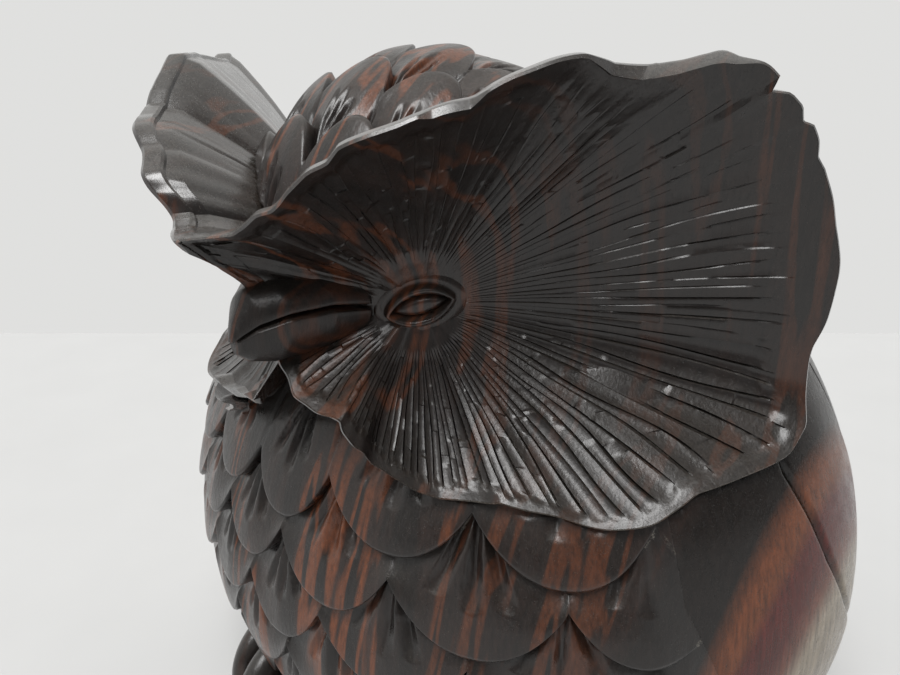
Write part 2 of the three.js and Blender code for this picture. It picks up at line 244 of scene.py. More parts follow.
def rib_bounds(rng):
    """Angles where one gouge cut meets the next, all round the eye."""
    bounds = [-180.0]
    while bounds[-1] < 180:
        width = np.interp(bounds[-1], RIB_WIDTH[:, 0], RIB_WIDTH[:, 1])
        bounds.append(bounds[-1] + width * rng.uniform(0.74, 1.28))
    bounds[-1] = 180.0
    return np.array(bounds)


# Angle round the eye, and: the mean width of a gouge cut in degrees, the strength of the relief,
# and the plain band left at the rim.
RIB_WIDTH = np.array([
    [-150, 3.3], [-60, 3.1], [-15, 2.7], [0, 2.3], [50, 2.4], [70, 3.6], [110, 4.6], [150, 4.4],
])
RIB_DEPTH = np.array([
    [-160, 0.7], [-140, 1], [-25, 1.1], [0, 0.6], [30, 0.42], [60, 0.6], [105, 0.9], [150, 0.7],
])
RIM_BAND = np.array([
    [-150, 1.0], [-95, 0.6], [-70, 0.8], [-45, 0.3], [-20, 1.6], [0, 4], [30, 4], [60, 1], [150, 1],
])
# How deep the V between two cuts is, and how far out from the eye it runs before it breaks up.
LINE_DEPTH = np.array([
    [-180, 0.5], [-150, 1], [-20, 1], [0, 0.6], [52, 0.5], [66, 0.2], [110, 0.15], [150, 0.3],
])
LINE_REACH = np.array([
    [-180, 0.8], [-150, 1.2], [-30, 1.2], [-5, 0.75], [30, 0.6], [55, 0.62], [75, 0.5], [150, 0.7],
])
FADE_ANGLES, FADE_LENGTHS = [-20, 0, 50, 70], [0.7, 6, 6, 0.7]  # how gently the relief runs out
ACROSS = (-1, -0.8, -0.35, 0.1, 0.5, 0.8)  # the places across a cut that get a column of the mesh
LAST_STAGE = 4  # a cut is made in up to this many strokes more than one
MEAN_RIM = 42
BACK_SHARES = (0.95, 0.9, 0.82, 0.74, 0.65, 0.55, 0.45, 0.33, 0.2, 0.08)  # rings on a disc's back


def gouge_cuts(rng, radii):
    """The cuts as columns of a mesh: angle, place across the cut, and relief, [row, column]."""
    bounds = rib_bounds(rng)
    count = len(bounds) - 1
    sway = rng.uniform(0.06, 0.3, count + 1) * np.append(np.diff(bounds), 2)
    pace, turn = rng.uniform(0.1, 0.32, count + 1), rng.uniform(0, 6.3, count + 1)
    steady = smoothstep((radii[:, None] - 9) / 10)  # the cuts start straight from the eye
    lines = bounds + sway * np.sin(radii[:, None] * pace + turn) * steady
    lines[:, -1] = lines[:, 0] + 360
    across = np.array(ACROSS)
    width = np.diff(lines, axis=1)
    angle = lines[:, :-1, None] + width[..., None] * (across + 1) / 2
    return bounds, angle, across, width


def gouge_relief(rng, bounds, across, width, radii, rim):
    """Depth of each place of the cuts on the front of a disc, and how much painted shade and dust
    lies there.
    """
    count = len(bounds) - 1
    middle = (bounds[1:] + bounds[:-1]) / 2
    strength = np.interp(middle, RIB_DEPTH[:, 0], RIB_DEPTH[:, 1])[:, None]
    broad = np.interp(middle, [95, 110], [0, 1])[:, None]
    share = radii / rim
    breaks = np.sort(rng.uniform(0.28, 0.95, (count, LAST_STAGE)), 1)
    stage = (share[..., None] > breaks).sum(-1)
    pick = (np.arange(count), stage)
    half = (radii * np.radians(width))[..., None] / 2
    scoop = (rng.uniform(0.1, 0.34, (count, LAST_STAGE + 1)) + 0.15 * broad)[pick][..., None]
    tilt = rng.uniform(-0.26, 0.26, (count, LAST_STAGE + 1))[pick][..., None]
    step = rng.uniform(-0.3, 0.1, (count, LAST_STAGE + 1))[pick][..., None]
    relief = step - scoop * half * (1 - across**2) + tilt * half * across
    depth = np.interp(middle, LINE_DEPTH[:, 0], LINE_DEPTH[:, 1])[:, None]
    reach = np.interp(middle, LINE_REACH[:, 0], LINE_REACH[:, 1]) + rng.uniform(-0.25, 0.25, count)
    pace, turn = rng.uniform(0.25, 0.7, count), rng.uniform(0, 6.3, count)
    patchy = 0.5 + 0.5 * np.sin(radii * pace + turn)
    lasting = np.maximum(smoothstep((reach - share) / 0.12), 0.55 * patchy)[..., None]
    lasting = lasting * (0.65 + 0.35 * patchy[..., None])
    valley = np.minimum(0.75 * half + 0.2, 0.95) * rng.uniform(0.5, 1.2, (count, 1))
    valley = valley * depth * lasting
    at_line = np.abs(across) > 0.99
    edge = np.roll(relief, 1, axis=1)[..., -1:]
    relief = np.where(at_line, np.minimum(relief, edge) - valley, relief)
    band = np.interp(middle, RIM_BAND[:, 0], RIM_BAND[:, 1]) * rng.uniform(0.6, 1.35, count)
    left_over = (rim - band - radii)[..., None] - 0.5 * half * across**2
    fade = np.interp(middle, FADE_ANGLES, FADE_LENGTHS)[:, None]
    inside = smoothstep(left_over / fade) * smoothstep((radii - 6.5) / 2.5)[..., None]
    # Painted shade along the V-lines between cuts, faint over the rest; the same mask marks where
    # dust lies.
    cavity_shade_and_dust = np.where(at_line, depth * lasting, 0.1) * inside
    return (relief - 0.3) * inside * strength, cavity_shade_and_dust


# Where a disc's rim stands off the model's outline: angle, distance outwards.
LEFT_TRIM = np.array([
    [-180, 0], [22, 0], [24, -0.5], [26, 0], [28.5, 0.1], [29.6, -0.7], [31.5, 0.3], [34, 0.1],
    [35.8, -1.4], [36.8, 0.3], [40, 0.4], [42, 0], [45, 0.2], [50, 2.0], [54, 0.6], [56, 0],
    [72, -0.5], [80, -1.0], [90, -0.6], [100, 0.3], [110, 1.3], [120, 0.8], [130, 0], [180, 0],
])
RIGHT_TRIM = np.array([
    [-180, 0], [-170, 5], [-165, 8], [-160, 8.6], [-157, 6.6], [-150, 5.2], [-147, 4], [-140, 3.6],
    [-137, 2.4], [-130, 2.4], [-125, 1.5], [-118, 0.4], [-110, 0], [30, 0], [38, 0.6], [41, 1.6],
    [43, 1.2], [44.5, -0.8], [46.5, 1.6], [50, 3.2],
    [55, 1.9], [60, 0.7], [66, 0.8], [71, 1.6], [75, 0.4], [80, -0.7], [84.5, -2.4], [90, -2.0],
    [95, -1.3], [100, -0.6], [105, 0.1], [115, 0.3], [130, 0], [135, -0.7], [141, -2.8],
    [144, -2.7], [150, -1.7], [155, -0.9], [160, 0], [180, 0],
])
# The slanting facet cut along the front edge of each rim: angle, width.
LEFT_BEVEL = np.array([
    [-180, 0.4], [-60, 0.3], [-15, 0.3], [40, 0.4], [44, 2.2], [51, 2.2], [56, 1.6], [61, 0.6],
    [77, 0.4], [80, 1.1], [88, 1.0], [91, 0.4], [180, 0.4],
])
RIGHT_BEVEL = np.array([
    [-180, 0.5], [-168, 0.8], [-160, 2.4], [-124, 2.4], [-112, 0.6], [180, 0.5],
])


def to_middle(angle, rim, curl, surface):
    """How far a column of a disc reaches before it would cross the owl's middle plane."""
    share = np.linspace(0, 1, 240)[:, None]
    a = np.radians(angle)
    outwards = np.cos(a) * DISC_U[0] + np.sin(a) * DISC_V[0]
    x = EYE[0] + share * rim * outwards + surface(share, curl) * DISC_N[0]
    crossed = x < MIDDLE_GAP
    first = np.where(crossed.any(0), crossed.argmax(0) - 1, len(share) - 1)
    return share[first, 0]


def front_surface(share, curl):
    return curl * share**DISH_POWER


def back_surface(share, curl):
    return curl * share**DISH_POWER - RIM_THICK - DISC_BULGE * (1 - share**2)


def rim_rings(outer, inner, corner, far_corner, bevel, whole):
    """The rings round a disc's rim, from front to back, [ring, (radius, forward), column].

    `whole` says where the rim is its full thickness; elsewhere the middle plane cuts it off.
    """
    return np.array([
        (outer - bevel * 0.93, corner - bevel * 0.1),
        (outer - bevel * 0.1, corner - bevel * 0.93),
        (outer, corner - bevel * 1.15 - 0.1),
        (outer, np.where(whole, corner - 2.7, corner - 0.3)),
        (
            np.where(whole, outer - 0.25, inner + 0.05),
            np.where(whole, corner - 3.1, far_corner + 0.1),
        ),
        (np.where(whole, outer - 0.9, inner), np.where(whole, corner - 3.25, far_corner)),
    ])


def disc(side, seed):
    """One facial disc: tooled dish in front, bevelled rim, smooth bulging back.

    The middle of the face is a plane that cuts off both discs, which are built as left ones.
    """
    rng = np.random.default_rng(seed)
    trim = LEFT_TRIM if side == "left" else RIGHT_TRIM
    shares = np.concatenate([[0.035, 0.09], np.linspace(0.125, 1.0, 116)])
    bounds, angle, across, width = gouge_cuts(rng, shares * MEAN_RIM)
    flat = angle.reshape(len(shares), -1)
    turned = np.mod(flat + 180, 360) - 180
    uneven = (0.2 if side == "left" else 0.08) * ripple(turned / 4, seed + 5, 8)
    rim = rim_profile(turned, 1, 0.7) + np.interp(turned, trim[:, 0], trim[:, 1]) + uneven
    curl = rim_profile(turned, 2, 3.0) + 0.4 * ripple(turned / 9, seed + 6)
    edge_angle, edge_rim, edge_curl = turned[-1], rim[-1], curl[-1]
    front_share = to_middle(edge_angle, edge_rim, edge_curl, front_surface)
    back_share = np.minimum(to_middle(edge_angle, edge_rim, edge_curl, back_surface), front_share)
    whole = front_share > 0.995
    slant = LEFT_BEVEL if side == "left" else RIGHT_BEVEL
    bevel = np.where(whole, np.interp(edge_angle, slant[:, 0], slant[:, 1]), 0.05)
    front = rim * front_share - bevel
    shape = (len(shares), len(bounds) - 1, len(across))
    radius = shares[:, None] * front
    middle = len(across) // 2
    radii, rims = radius.reshape(shape)[..., middle], front.reshape(shape)[..., middle]
    relief, cavity_shade_and_dust = gouge_relief(rng, bounds, across, width, radii, rims)
    relief, cavity_shade_and_dust = relief.reshape(radius.shape), cavity_shade_and_dust.reshape(radius.shape)
    forward = front_surface(radius / rim, curl) + relief

    outer, corner = edge_rim * front_share, front_surface(front_share, edge_curl)
    inner, far_corner = edge_rim * back_share, back_surface(back_share, edge_curl)
    edge = rim_rings(outer, inner, corner, far_corner, bevel, whole)
    back = np.array(BACK_SHARES)[:, None]
    behind = back_surface(back * back_share, edge_curl) + back_lines(edge_angle, back)
    radius = np.concatenate([radius, edge[:, 0], back * inner])
    forward = np.concatenate([forward, edge[:, 1], behind])
    a = np.radians(np.concatenate([flat, np.repeat(flat[-1:], len(radius) - len(flat), 0)]))
    points = (
        EYE
        + (radius * np.cos(a))[..., None] * DISC_U
        + (radius * np.sin(a))[..., None] * DISC_V
        + forward[..., None] * DISC_N
    )
    points[..., 0] = np.maximum(points[..., 0], MIDDLE_GAP)
    dust_and_painted_light = np.concatenate([cavity_shade_and_dust, np.zeros((len(radius) - len(flat), flat.shape[1]))])
    piece = loft(f"facial_disc_{side}_carved", mirror(points) if side == "right" else points, dust_and_painted_light)
    piece.data.set_sharp_from_angle(angle=math.radians(24))
    finish_piece(piece, f"facial_disc_{side}", EBONY)
    piece.data.materials.append(SMOOTH_EBONY)
    smooth_from = (len(flat) - 1) * flat.shape[1]
    for face in piece.data.polygons:
        face.material_index = int(face.index >= smooth_from)


def back_lines(angle, back):
    """Shallow V-cuts that fan out over the back of a disc from the crown."""
    depth = np.zeros((len(back), len(angle)))
    for where, reach in ((84, 0.9), (93, 0.62), (98, 0.7), (103, 0.9), (109, 0.66), (115, 0.6)):
        line = 0.5 * np.exp(-(((angle - where) / 0.8) ** 2))
        depth = np.maximum(depth, line * smoothstep((reach - back) / 0.1 + 0.5))
    return depth * smoothstep((back - 0.3) / 0.15)


# --- feathers -----------------------------------------------------------------------------


def scallop(edges, tip, depth, at):
    """Scalloped edge, and the feather that each place belongs to with its place across it."""
    feather = np.clip(np.searchsorted(edges, at, "right") - 1, 0, len(edges) - 2)
    middle = (edges[feather] + edges[feather + 1]) / 2
    half = (edges[feather + 1] - edges[feather]) / 2
    side = np.clip((at - middle) / half, -1, 1)
    return tip + depth * np.abs(side) ** 2.2, feather, side


def midpoints(edges):
    return (edges[1:] + edges[:-1]) / 2


def feather_row(name, columns, own, tip, depth, start, place_on, look, seed):
    """A row of overlapping feathers, tucked under the row before and raised at its edge."""
    rng = np.random.default_rng(seed)
    uneven = rng.uniform(-0.6, 0.6, len(own))
    end, feather, side = scallop(own, tip, depth, columns)
    end = end + uneven[feather]
    begin = start(columns)
    share = np.linspace(0, 1, look["rows"])[:, None]
    along = begin + (end - begin) * share
    length = abs(depth) * 2.4  # from the tip up to the top of a feather
    up = np.abs(along - (tip + 0 * share)) / length  # 0 at the tip, about 1 at the top
    lip = 1 - smoothstep((share - 0.965) / 0.035) * 0.35
    pillow = look["pillow"] * (1 - side**2) * smoothstep(share / 0.3)
    off = (-1.0 + look["thick"] * smoothstep(share * 0.9 + 0.05)) * lip + pillow - 0.35
    marks, dust_and_painted_light = gouge_marks(side, up, rng, len(own), feather, look)
    seam = np.exp(-(((1 - np.abs(side)) / 0.07) ** 2)) * np.ones_like(share)
    off = off - marks - look["seam"] * seam * smoothstep(1.15 - share)
    if look is BREAST:
        clear = edge_table(WING_FRONT, along) - np.abs(columns)
        off = off + (WING_RAISE - 0.1 - off) * (1 - smoothstep((clear - 1) / 8))
        off = off - 1.4 * (1 - smoothstep((clear + 0.75) / 0.5))
    outer = place_on(columns, along, off)
    outer = behind_disc(outer, 0.35)
    inner_share = np.array([1.0, 0.66, 0.33, 0.0])[:, None]
    inner = place_on(columns, begin + (end - begin) * inner_share, SHELL_INNER)
    inner = behind_disc(inner, 1.2)
    rings = np.concatenate([outer, inner]).transpose(1, 0, 2)
    # Painted shade under the row above (tuck), between feathers (seam) and in the gouge marks; the
    # same mask marks where dust lies.
    tuck = np.exp(-((share / 0.12) ** 2)) * np.ones_like(side)
    cavity_shade_and_dust = np.clip(dust_and_painted_light * 0.6 + seam * 0.7 + tuck * 0.9, 0, 1)
    cavity_shade_and_dust = np.concatenate([cavity_shade_and_dust, np.zeros((4, len(columns)))]).T
    return loft(name, rings, cavity_shade_and_dust)


def gouge_marks(side, up, rng, count, feather, look):
    """Short V-cuts that fan out from the top of each feather and widen towards its tip."""
    depth = np.zeros(np.broadcast(side, up).shape)
    for stroke in look["strokes"]:
        lean = stroke + rng.uniform(-0.07, 0.07, count)[feather]
        low = look["reach"] + 0.2 * abs(stroke) + rng.uniform(-0.06, 0.06, count)[feather]
        share = np.clip((1.05 - up) / (1.05 - low), 0, 1.2)
        wide = look["stroke_width"] * (0.35 + 0.65 * share) + 1e-6
        across = np.abs((side - lean * share**0.8) / wide)
        close = np.clip((1.0 - share) / 0.38 + 0.08 - 0.08 * across, 0, 1) ** 0.8
        groove = np.maximum(1 - across, 0) ** 0.8
        depth = np.maximum(depth, look["stroke_depth"] * (0.6 + 0.4 * share) * groove * close)
    return depth, depth / look["stroke_depth"]


BREAST = {
    "rows": 72, "thick": 2.3, "pillow": 0.9, "seam": 0.5, "reach": 0.36,
    "strokes": (-0.42, -0.04, 0.36), "stroke_width": 0.14, "stroke_depth": 1.7,
}
CROWN = {
    "rows": 56, "thick": 1.9, "pillow": 1.1, "seam": 0.6, "reach": 0.42,
    "strokes": (-0.3, 0.02, 0.32), "stroke_width": 0.14, "stroke_depth": 1.2,
}
NAPE = dict(BREAST, rows=48, thick=2.0)


def breast_row(i, material):
    """Row i of the U-shaped breast feathers, tucked under the row above."""
    odd = midpoints(FEATHER_EDGES)
    own, before = (odd, FEATHER_EDGES) if i % 2 else (FEATHER_EDGES, odd)

    def start(at):
        if not i:
            return BREAST_TOP + 0 * at
        return scallop(before, BREAST_TIPS[i - 1], SCALLOP, at)[0] + 1.2

    columns = np.linspace(-BREAST_REACH[i], BREAST_REACH[i], BREAST_REACH[i] * 8)
    name = f"breast_feathers_{i + 1}"
    piece = feather_row(
        name + "_carved", columns, own, BREAST_TIPS[i], SCALLOP, start, on_body, BREAST, 20 + i
    )
    finish_piece(piece, name, material)


def crown_row(i, material):
    """Row i of the scale feathers that run from the forehead over the crown."""
    odd = midpoints(CROWN_EDGES)
    own, before = (odd, CROWN_EDGES) if i % 2 else (CROWN_EDGES, odd)

    def start(at):
        if not i:
            return CROWN_START + 0 * at
        return scallop(before, CROWN_TIPS[i - 1], CROWN_SCALLOP, at)[0] - 2.0

    name = f"crown_feathers_{i + 1}"
    columns = np.linspace(-77, 77, 420)
    piece = feather_row(
        name + "_carved", columns, own, CROWN_TIPS[i], CROWN_SCALLOP, start, on_crown, CROWN, 40 + i
    )
    finish_piece(piece, name, material)


def nape_row(i, material):
    """Row i of the mantle of feathers round the back of the neck."""
    odd = midpoints(NAPE_EDGES)
    own, before = (odd, NAPE_EDGES) if i % 2 else (NAPE_EDGES, odd)

    def start(at):
        if not i:
            return NAPE_TOP + 0 * at
        return scallop(before, NAPE_TIPS[i - 1], NAPE_SCALLOP, at)[0] + 1.0

    name = f"nape_feathers_{i + 1}"
    columns = np.linspace(50, 310, 700)
    piece = feather_row(
        name + "_carved", columns, own, NAPE_TIPS[i], NAPE_SCALLOP, start, on_body, NAPE, 60 + i
    )
    finish_piece(piece, name, material)


# --- body, wings, tail and feet -----------------------------------------------------------


def edge_table(table, z):
    return np.interp(z, [row[0] for row in table], [row[1] for row in table])


def wing_part(name, node, front, back, raise_by, material, front_drop=0.9):
    """A smooth shell of the folded wing between two edges, with rounded borders."""
    rows, columns = 120, 90
    t = np.sin(np.linspace(0, math.pi / 2, rows))
    s = np.linspace(0, 1, columns)[:, None]
    bottom = WING_BOTTOM
    z0 = WING_TOP + (bottom - WING_TOP) * t
    azimuth = front(z0) + (back(z0) - front(z0)) * s
    top = scallop(midpoints(NAPE_EDGES), NAPE_TIPS[1], NAPE_SCALLOP, azimuth[:, 0])[0] + 1.5
    z = top[:, None] + (bottom - top[:, None]) * t
    azimuth = front(z) + (back(z) - front(z)) * s
    width = np.radians(np.abs(back(z) - front(z))) * 62
    near_front, near_back = s * width, (1 - s) * width
    fall = front_drop * np.exp(-((near_front / 0.7) ** 2))
    fall = fall + BACK_DROP * np.exp(-((near_back / 0.7) ** 2))
    low = 0.9 * np.exp(-(((z - bottom) / 1.0) ** 2))
    outer = behind_disc(on_body(azimuth, z, raise_by - fall - low), 0.4)
    pick = [rows - 1, rows * 2 // 3, rows // 3, 0]
    inner = behind_disc(on_body(azimuth[:, pick], z[:, pick], SHELL_INNER), 1.2)
    rings = np.concatenate([outer, inner], 1)
    if np.mean(front(z0)) < 0:
        rings = rings[::-1]
    # Painted shade in the lines at the front and back of each wing part; the same mask marks where
    # dust lies.
    groove = front_drop * np.exp(-((near_front / 0.5) ** 2))
    groove = groove + BACK_DROP * np.exp(-((near_back / 0.5) ** 2))
    dust_and_painted_light = np.concatenate([groove, np.zeros((columns, 4))], 1)
    piece = loft(name, rings, dust_and_painted_light)
    finish_piece(piece, node, material)


def wing(side, sign, material):
    """The covert shell and the three flight feathers behind the carved wing line."""
    def edge(table):
        return lambda z: sign * edge_table(table, z)

    def between(share, shift):
        def azimuth(z):
            line, back = edge_table(WING_LINE, z), edge_table(WING_BACK, z)
            return sign * (line + (back - line) * share + shift)
        return azimuth

    node = f"wing_coverts_{side}"
    front, back = edge(WING_FRONT), between(0, -0.2)
    wing_part(node + "_carved", node, front, back, WING_RAISE, material, front_drop=0.2)
    for i in range(3):
        node = f"flight_feather_{i + 1}_{side}"
        front, back = between(i / 3, 0.2), between((i + 1) / 3, -0.25)
        wing_part(node + "_carved", node, front, back, 0.3 - 0.3 * i, material)


def back_strip(material):
    def left(z):
        return edge_table(WING_BACK, z) + 0.5

    def right(z):
        return 360 - left(z)

    wing_part("back_carved", "back", left, right, -0.5, material)


def torso(material):
    z = np.concatenate([[0.0, 0.4, 1.2], np.linspace(2.5, 96, 80)])
    azimuth = np.linspace(0, 360, 240, endpoint=False)
    inset = CORE_INSET - np.array([1.2, 0.5, 0.1] + [0] * 80)
    points = on_body(azimuth[None, :], z[:, None], inset[:, None])
    piece = loft("torso_carved", points, np.zeros(points.shape[:2]))
    finish_piece(piece, "torso", material)


def head(material):
    over = np.linspace(2, 178, 100)
    side = np.linspace(-84, 84, 90)
    outer = on_crown(side[None, :], over[:, None], -3.5)
    outer = behind_disc(outer, 0.5)
    rings = np.concatenate([outer, on_crown(side[::-1][None, ::12], over[:, None], -9)], 1)
    piece = loft("head_carved", rings, np.zeros(rings.shape[:2]))
    finish_piece(piece, "head", material)


def tail(material):
    """A short fluted tail that widens down to the ground."""
    z = np.linspace(44, 0, 60)
    width = np.interp(z, [0, 16, 30, 44], [15, 13, 10, 7])
    deep = np.interp(z, [0, 16, 30, 44], [5, 5, 4.5, 3])
    middle = np.interp(z, [0, 16, 30, 44], [48, 47, 46, 44])
    a = np.linspace(0, 2 * math.pi, 160, endpoint=False)
    flute = 1 - 0.07 * np.abs(np.cos(a * 5)) ** 8
    points = np.stack([
        width[:, None] * np.cos(a) * flute,
        middle[:, None] + deep[:, None] * np.sin(a) * flute,
        z[:, None] + 0 * a,
    ], -1)
    piece = loft("tail_carved", points, np.zeros(points.shape[:2]))
    finish_piece(piece, "tail", material)


TOE_CENTRES = [[16, -44, 11], [25, -43, 12], [33.5, -38, 11]]
TOE_WIDE, TOE_LONG, TOE_HIGH = 5.2, 13, 12.4  # half sizes
TOE_CUTS = (-4, 1.5)  # where the cross cuts lie along a toe


def foot(side, sign, material):
    """Three rounded toes, each with two cross cuts."""
    parts = []
    a = np.linspace(0.02, math.pi - 0.02, 60)[:, None]
    b = np.linspace(0, 2 * math.pi, 72, endpoint=False)
    cuts = 1.0
    for cut in TOE_CUTS:
        cuts = cuts - 0.05 * np.exp(-(((np.cos(a) * TOE_LONG - cut) / 0.8) ** 2))
    for centre in TOE_CENTRES:
        x = centre[0] + TOE_WIDE * np.sin(a) * np.cos(b) * cuts
        y = centre[1] - TOE_LONG * np.cos(a) + 0 * b
        z = np.maximum(centre[2] + TOE_HIGH * np.sin(a) * np.sin(b) * cuts, 0.0)
        parts.append(np.stack([sign * x, y, z], -1))
    pieces = [
        loft(f"toe_{side}_{i + 1}", part, np.zeros(part.shape[:2]))
        for i, part in enumerate(parts)
    ]
    joined = join(f"foot_{side}_carved", pieces)
    finish_piece(joined, f"foot_{side}", material)


def join(name, pieces):
    """One object from several, their meshes side by side."""
    with bpy.context.temp_override(active_object=pieces[0], selected_editable_objects=pieces):
        bpy.ops.object.join()
    pieces[0].name = name
    return pieces[0]


# --- eyes and beak ------------------------------------------------------------------------


# Outlines of the lids and the ball: half width, half height, forward, how pointed.
LIDS = [
    (8.0, 5.6, -1.2, 0.05), (7.8, 5.4, -0.5, 0.05), (7.2, 4.9, 0.1, 0.08), (6.6, 4.4, 0.5, 0.12),
    (6.1, 3.95, 0.7, 0.18), (5.7, 3.6, 0.7, 0.24), (5.5, 3.35, 0.65, 0.3), (5.35, 3.15, 1, 0.36),
    (5.2, 2.95, 1.7, 0.44), (5.0, 2.7, 2.1, 0.5), (4.8, 2.35, 2.15, 0.54), (4.6, 2.0, 1.9, 0.56),
    (4.4, 1.7, 1.2, 0.57), (4.2, 1.5, 0.5, 0.57), (4.0, 1.35, 0.2, 0.57),
]
BALL = [
    (4.0, 1.5, 0.3, 0.35), (3.9, 1.4, 0.7, 0.35), (3.5, 1.2, 1.15, 0.35),
    (2.8, 0.95, 1.45, 0.35), (1.8, 0.6, 1.6, 0.35), (0.6, 0.2, 1.65, 0.35),
]
EYE_SLANT = math.radians(11)


def eye_ring(half_width, half_height, forward, point, count=96):
    """An almond outline round the eye; `point` is how much its ends are drawn in."""
    a = np.linspace(0, 2 * math.pi, count, endpoint=False)
    x = half_width * np.cos(a)
    y = half_height * np.sin(a) * (1 - point * np.abs(np.cos(a)) ** 3)
    y = y + 0.035 * forward * x  # the lids are a little fuller towards the side of the head
    across = x * math.cos(EYE_SLANT) - y * math.sin(EYE_SLANT)
    up = x * math.sin(EYE_SLANT) + y * math.cos(EYE_SLANT)
    return EYE + across[:, None] * DISC_U + up[:, None] * DISC_V + forward * DISC_N


def eye(side, lid_material, ball_material):
    """The mound and lids round an eye, and the ball in the slit between them."""
    turn = mirror if side == "right" else np.array
    rings = np.array([turn(eye_ring(*ring)) for ring in LIDS])
    dust_and_painted_light = np.zeros(rings.shape[:2])
    lid_piece = loft(f"eyelids_{side}_carved", rings, dust_and_painted_light)
    finish_piece(lid_piece, f"eyelids_{side}", lid_material)
    rings = np.array([turn(eye_ring(*ring)) for ring in BALL])
    dust_and_painted_light = np.zeros(rings.shape[:2])
    ball_piece = loft(f"eyeball_{side}_carved", rings, dust_and_painted_light)
    finish_piece(ball_piece, f"eyeball_{side}", ball_material)


# Sections of the beak: y, half width, bottom, top.
UPPER_BEAK = [
    [-48, 9.5, 105.2, 110.5], [-54, 8, 106.2, 111.5], [-60, 5.8, 106.0, 110.8],
    [-63.3, 3.3, 104.8, 109.2], [-65, 1.6, 103.4, 105.8], [-65.9, 0.5, 102.4, 103.2],
]
LOWER_BEAK = [
    [-48, 9.5, 98.9, 105.0], [-54, 8.4, 97.8, 106.1], [-60, 6.0, 98.0, 105.8],
    [-63.5, 3.3, 99.0, 104.3], [-65.2, 1.2, 100.4, 102.6],
]


def beak_half(name, node, sections, widest, sharp, material):
    """One half of the beak: `widest` is how high its sections are widest, `sharp` makes a ridge."""
    sections = np.array(sections)
    y = np.linspace(sections[0, 0], sections[-1, 0], 60)
    order = sections[::-1]
    half, bottom, ridge = (np.interp(y, order[:, 0], order[:, k]) for k in (1, 2, 3))
    a = np.linspace(0, 2 * math.pi, 80, endpoint=False)
    swell = np.abs(np.sin(a)) ** sharp * np.sign(np.sin(a))
    lift = widest + np.where(np.cos(a) > 0, 1 - widest, widest) * np.cos(a)
    points = np.stack([
        half[:, None] * swell,
        y[:, None] + 0 * a,
        bottom[:, None] + (ridge - bottom)[:, None] * lift,
    ], -1)
    piece = loft(name, points, np.zeros(points.shape[:2]))
    finish_piece(piece, node, material)


# --- materials ----------------------------------------------------------------------------


class Nodes:
    """A short way to write a node tree."""

    def __init__(self, name):
        self.material = bpy.data.materials.new(name)
        self.material.use_nodes = True
        self.tree = self.material.node_tree
        self.shader = self.tree.nodes["Principled BSDF"]

    def add(self, kind, inputs=None, **settings):
        node = self.tree.nodes.new("ShaderNode" + kind)
        for key, value in settings.items():
            setattr(node, key, value)
        for key, value in (inputs or {}).items():
            self.put(node.inputs[key], value)
        return node

    def put(self, socket, value):
        if isinstance(value, bpy.types.NodeSocket):
            self.tree.links.new(value, socket)
        else:
            socket.default_value = value

    def math(self, operation, a, b=0.0, c=0.0):
        return self.add("Math", {0: a, 1: b, 2: c}, operation=operation).outputs[0]

    def noise(self, vector, scale, detail=3.0, rough=0.55):
        inputs = {"Vector": vector, "Scale": scale, "Detail": detail, "Roughness": rough}
        return self.add("TexNoise", inputs).outputs["Fac"]

    def stretch(self, vector, x, y, z):
        return self.add("Mapping", {"Vector": vector, "Scale": (x, y, z)}).outputs[0]

    def ramp(self, value, stops):
        node = self.add("ValToRGB", {"Fac": value})
        ramp = node.color_ramp
        while len(ramp.elements) < len(stops):
            ramp.elements.new(0.5)
        for element, (position, colour) in zip(ramp.elements, stops):
            element.position = position
            element.color = (*colour, 1) if len(colour) == 3 else colour
        return node.outputs[0]

    def level(self, value, low, high, start=0.0, end=1.0):
        inputs = {"Value": value, "From Min": low, "From Max": high, "To Min": start, "To Max": end}
        return self.add("MapRange", inputs).outputs[0]

    def mix(self, share, a, b, blend="MIX"):
        node = self.add("Mix", data_type="RGBA", blend_type=blend)
        for key, value in ((0, share), (6, a), (7, b)):
            self.put(node.inputs[key], value)
        return node.outputs[2]


BLACK_WOOD = (0.008, 0.0055, 0.0045)
DARK_BROWN = (0.018, 0.0095, 0.007)
ORANGE_BROWN = (0.12, 0.034, 0.011)
DARK_RED = (0.07, 0.009, 0.006)
SAPWOOD = (0.27, 0.225, 0.17)
PINK = (0.12, 0.04, 0.024)
DUST = (0.30, 0.275, 0.235)


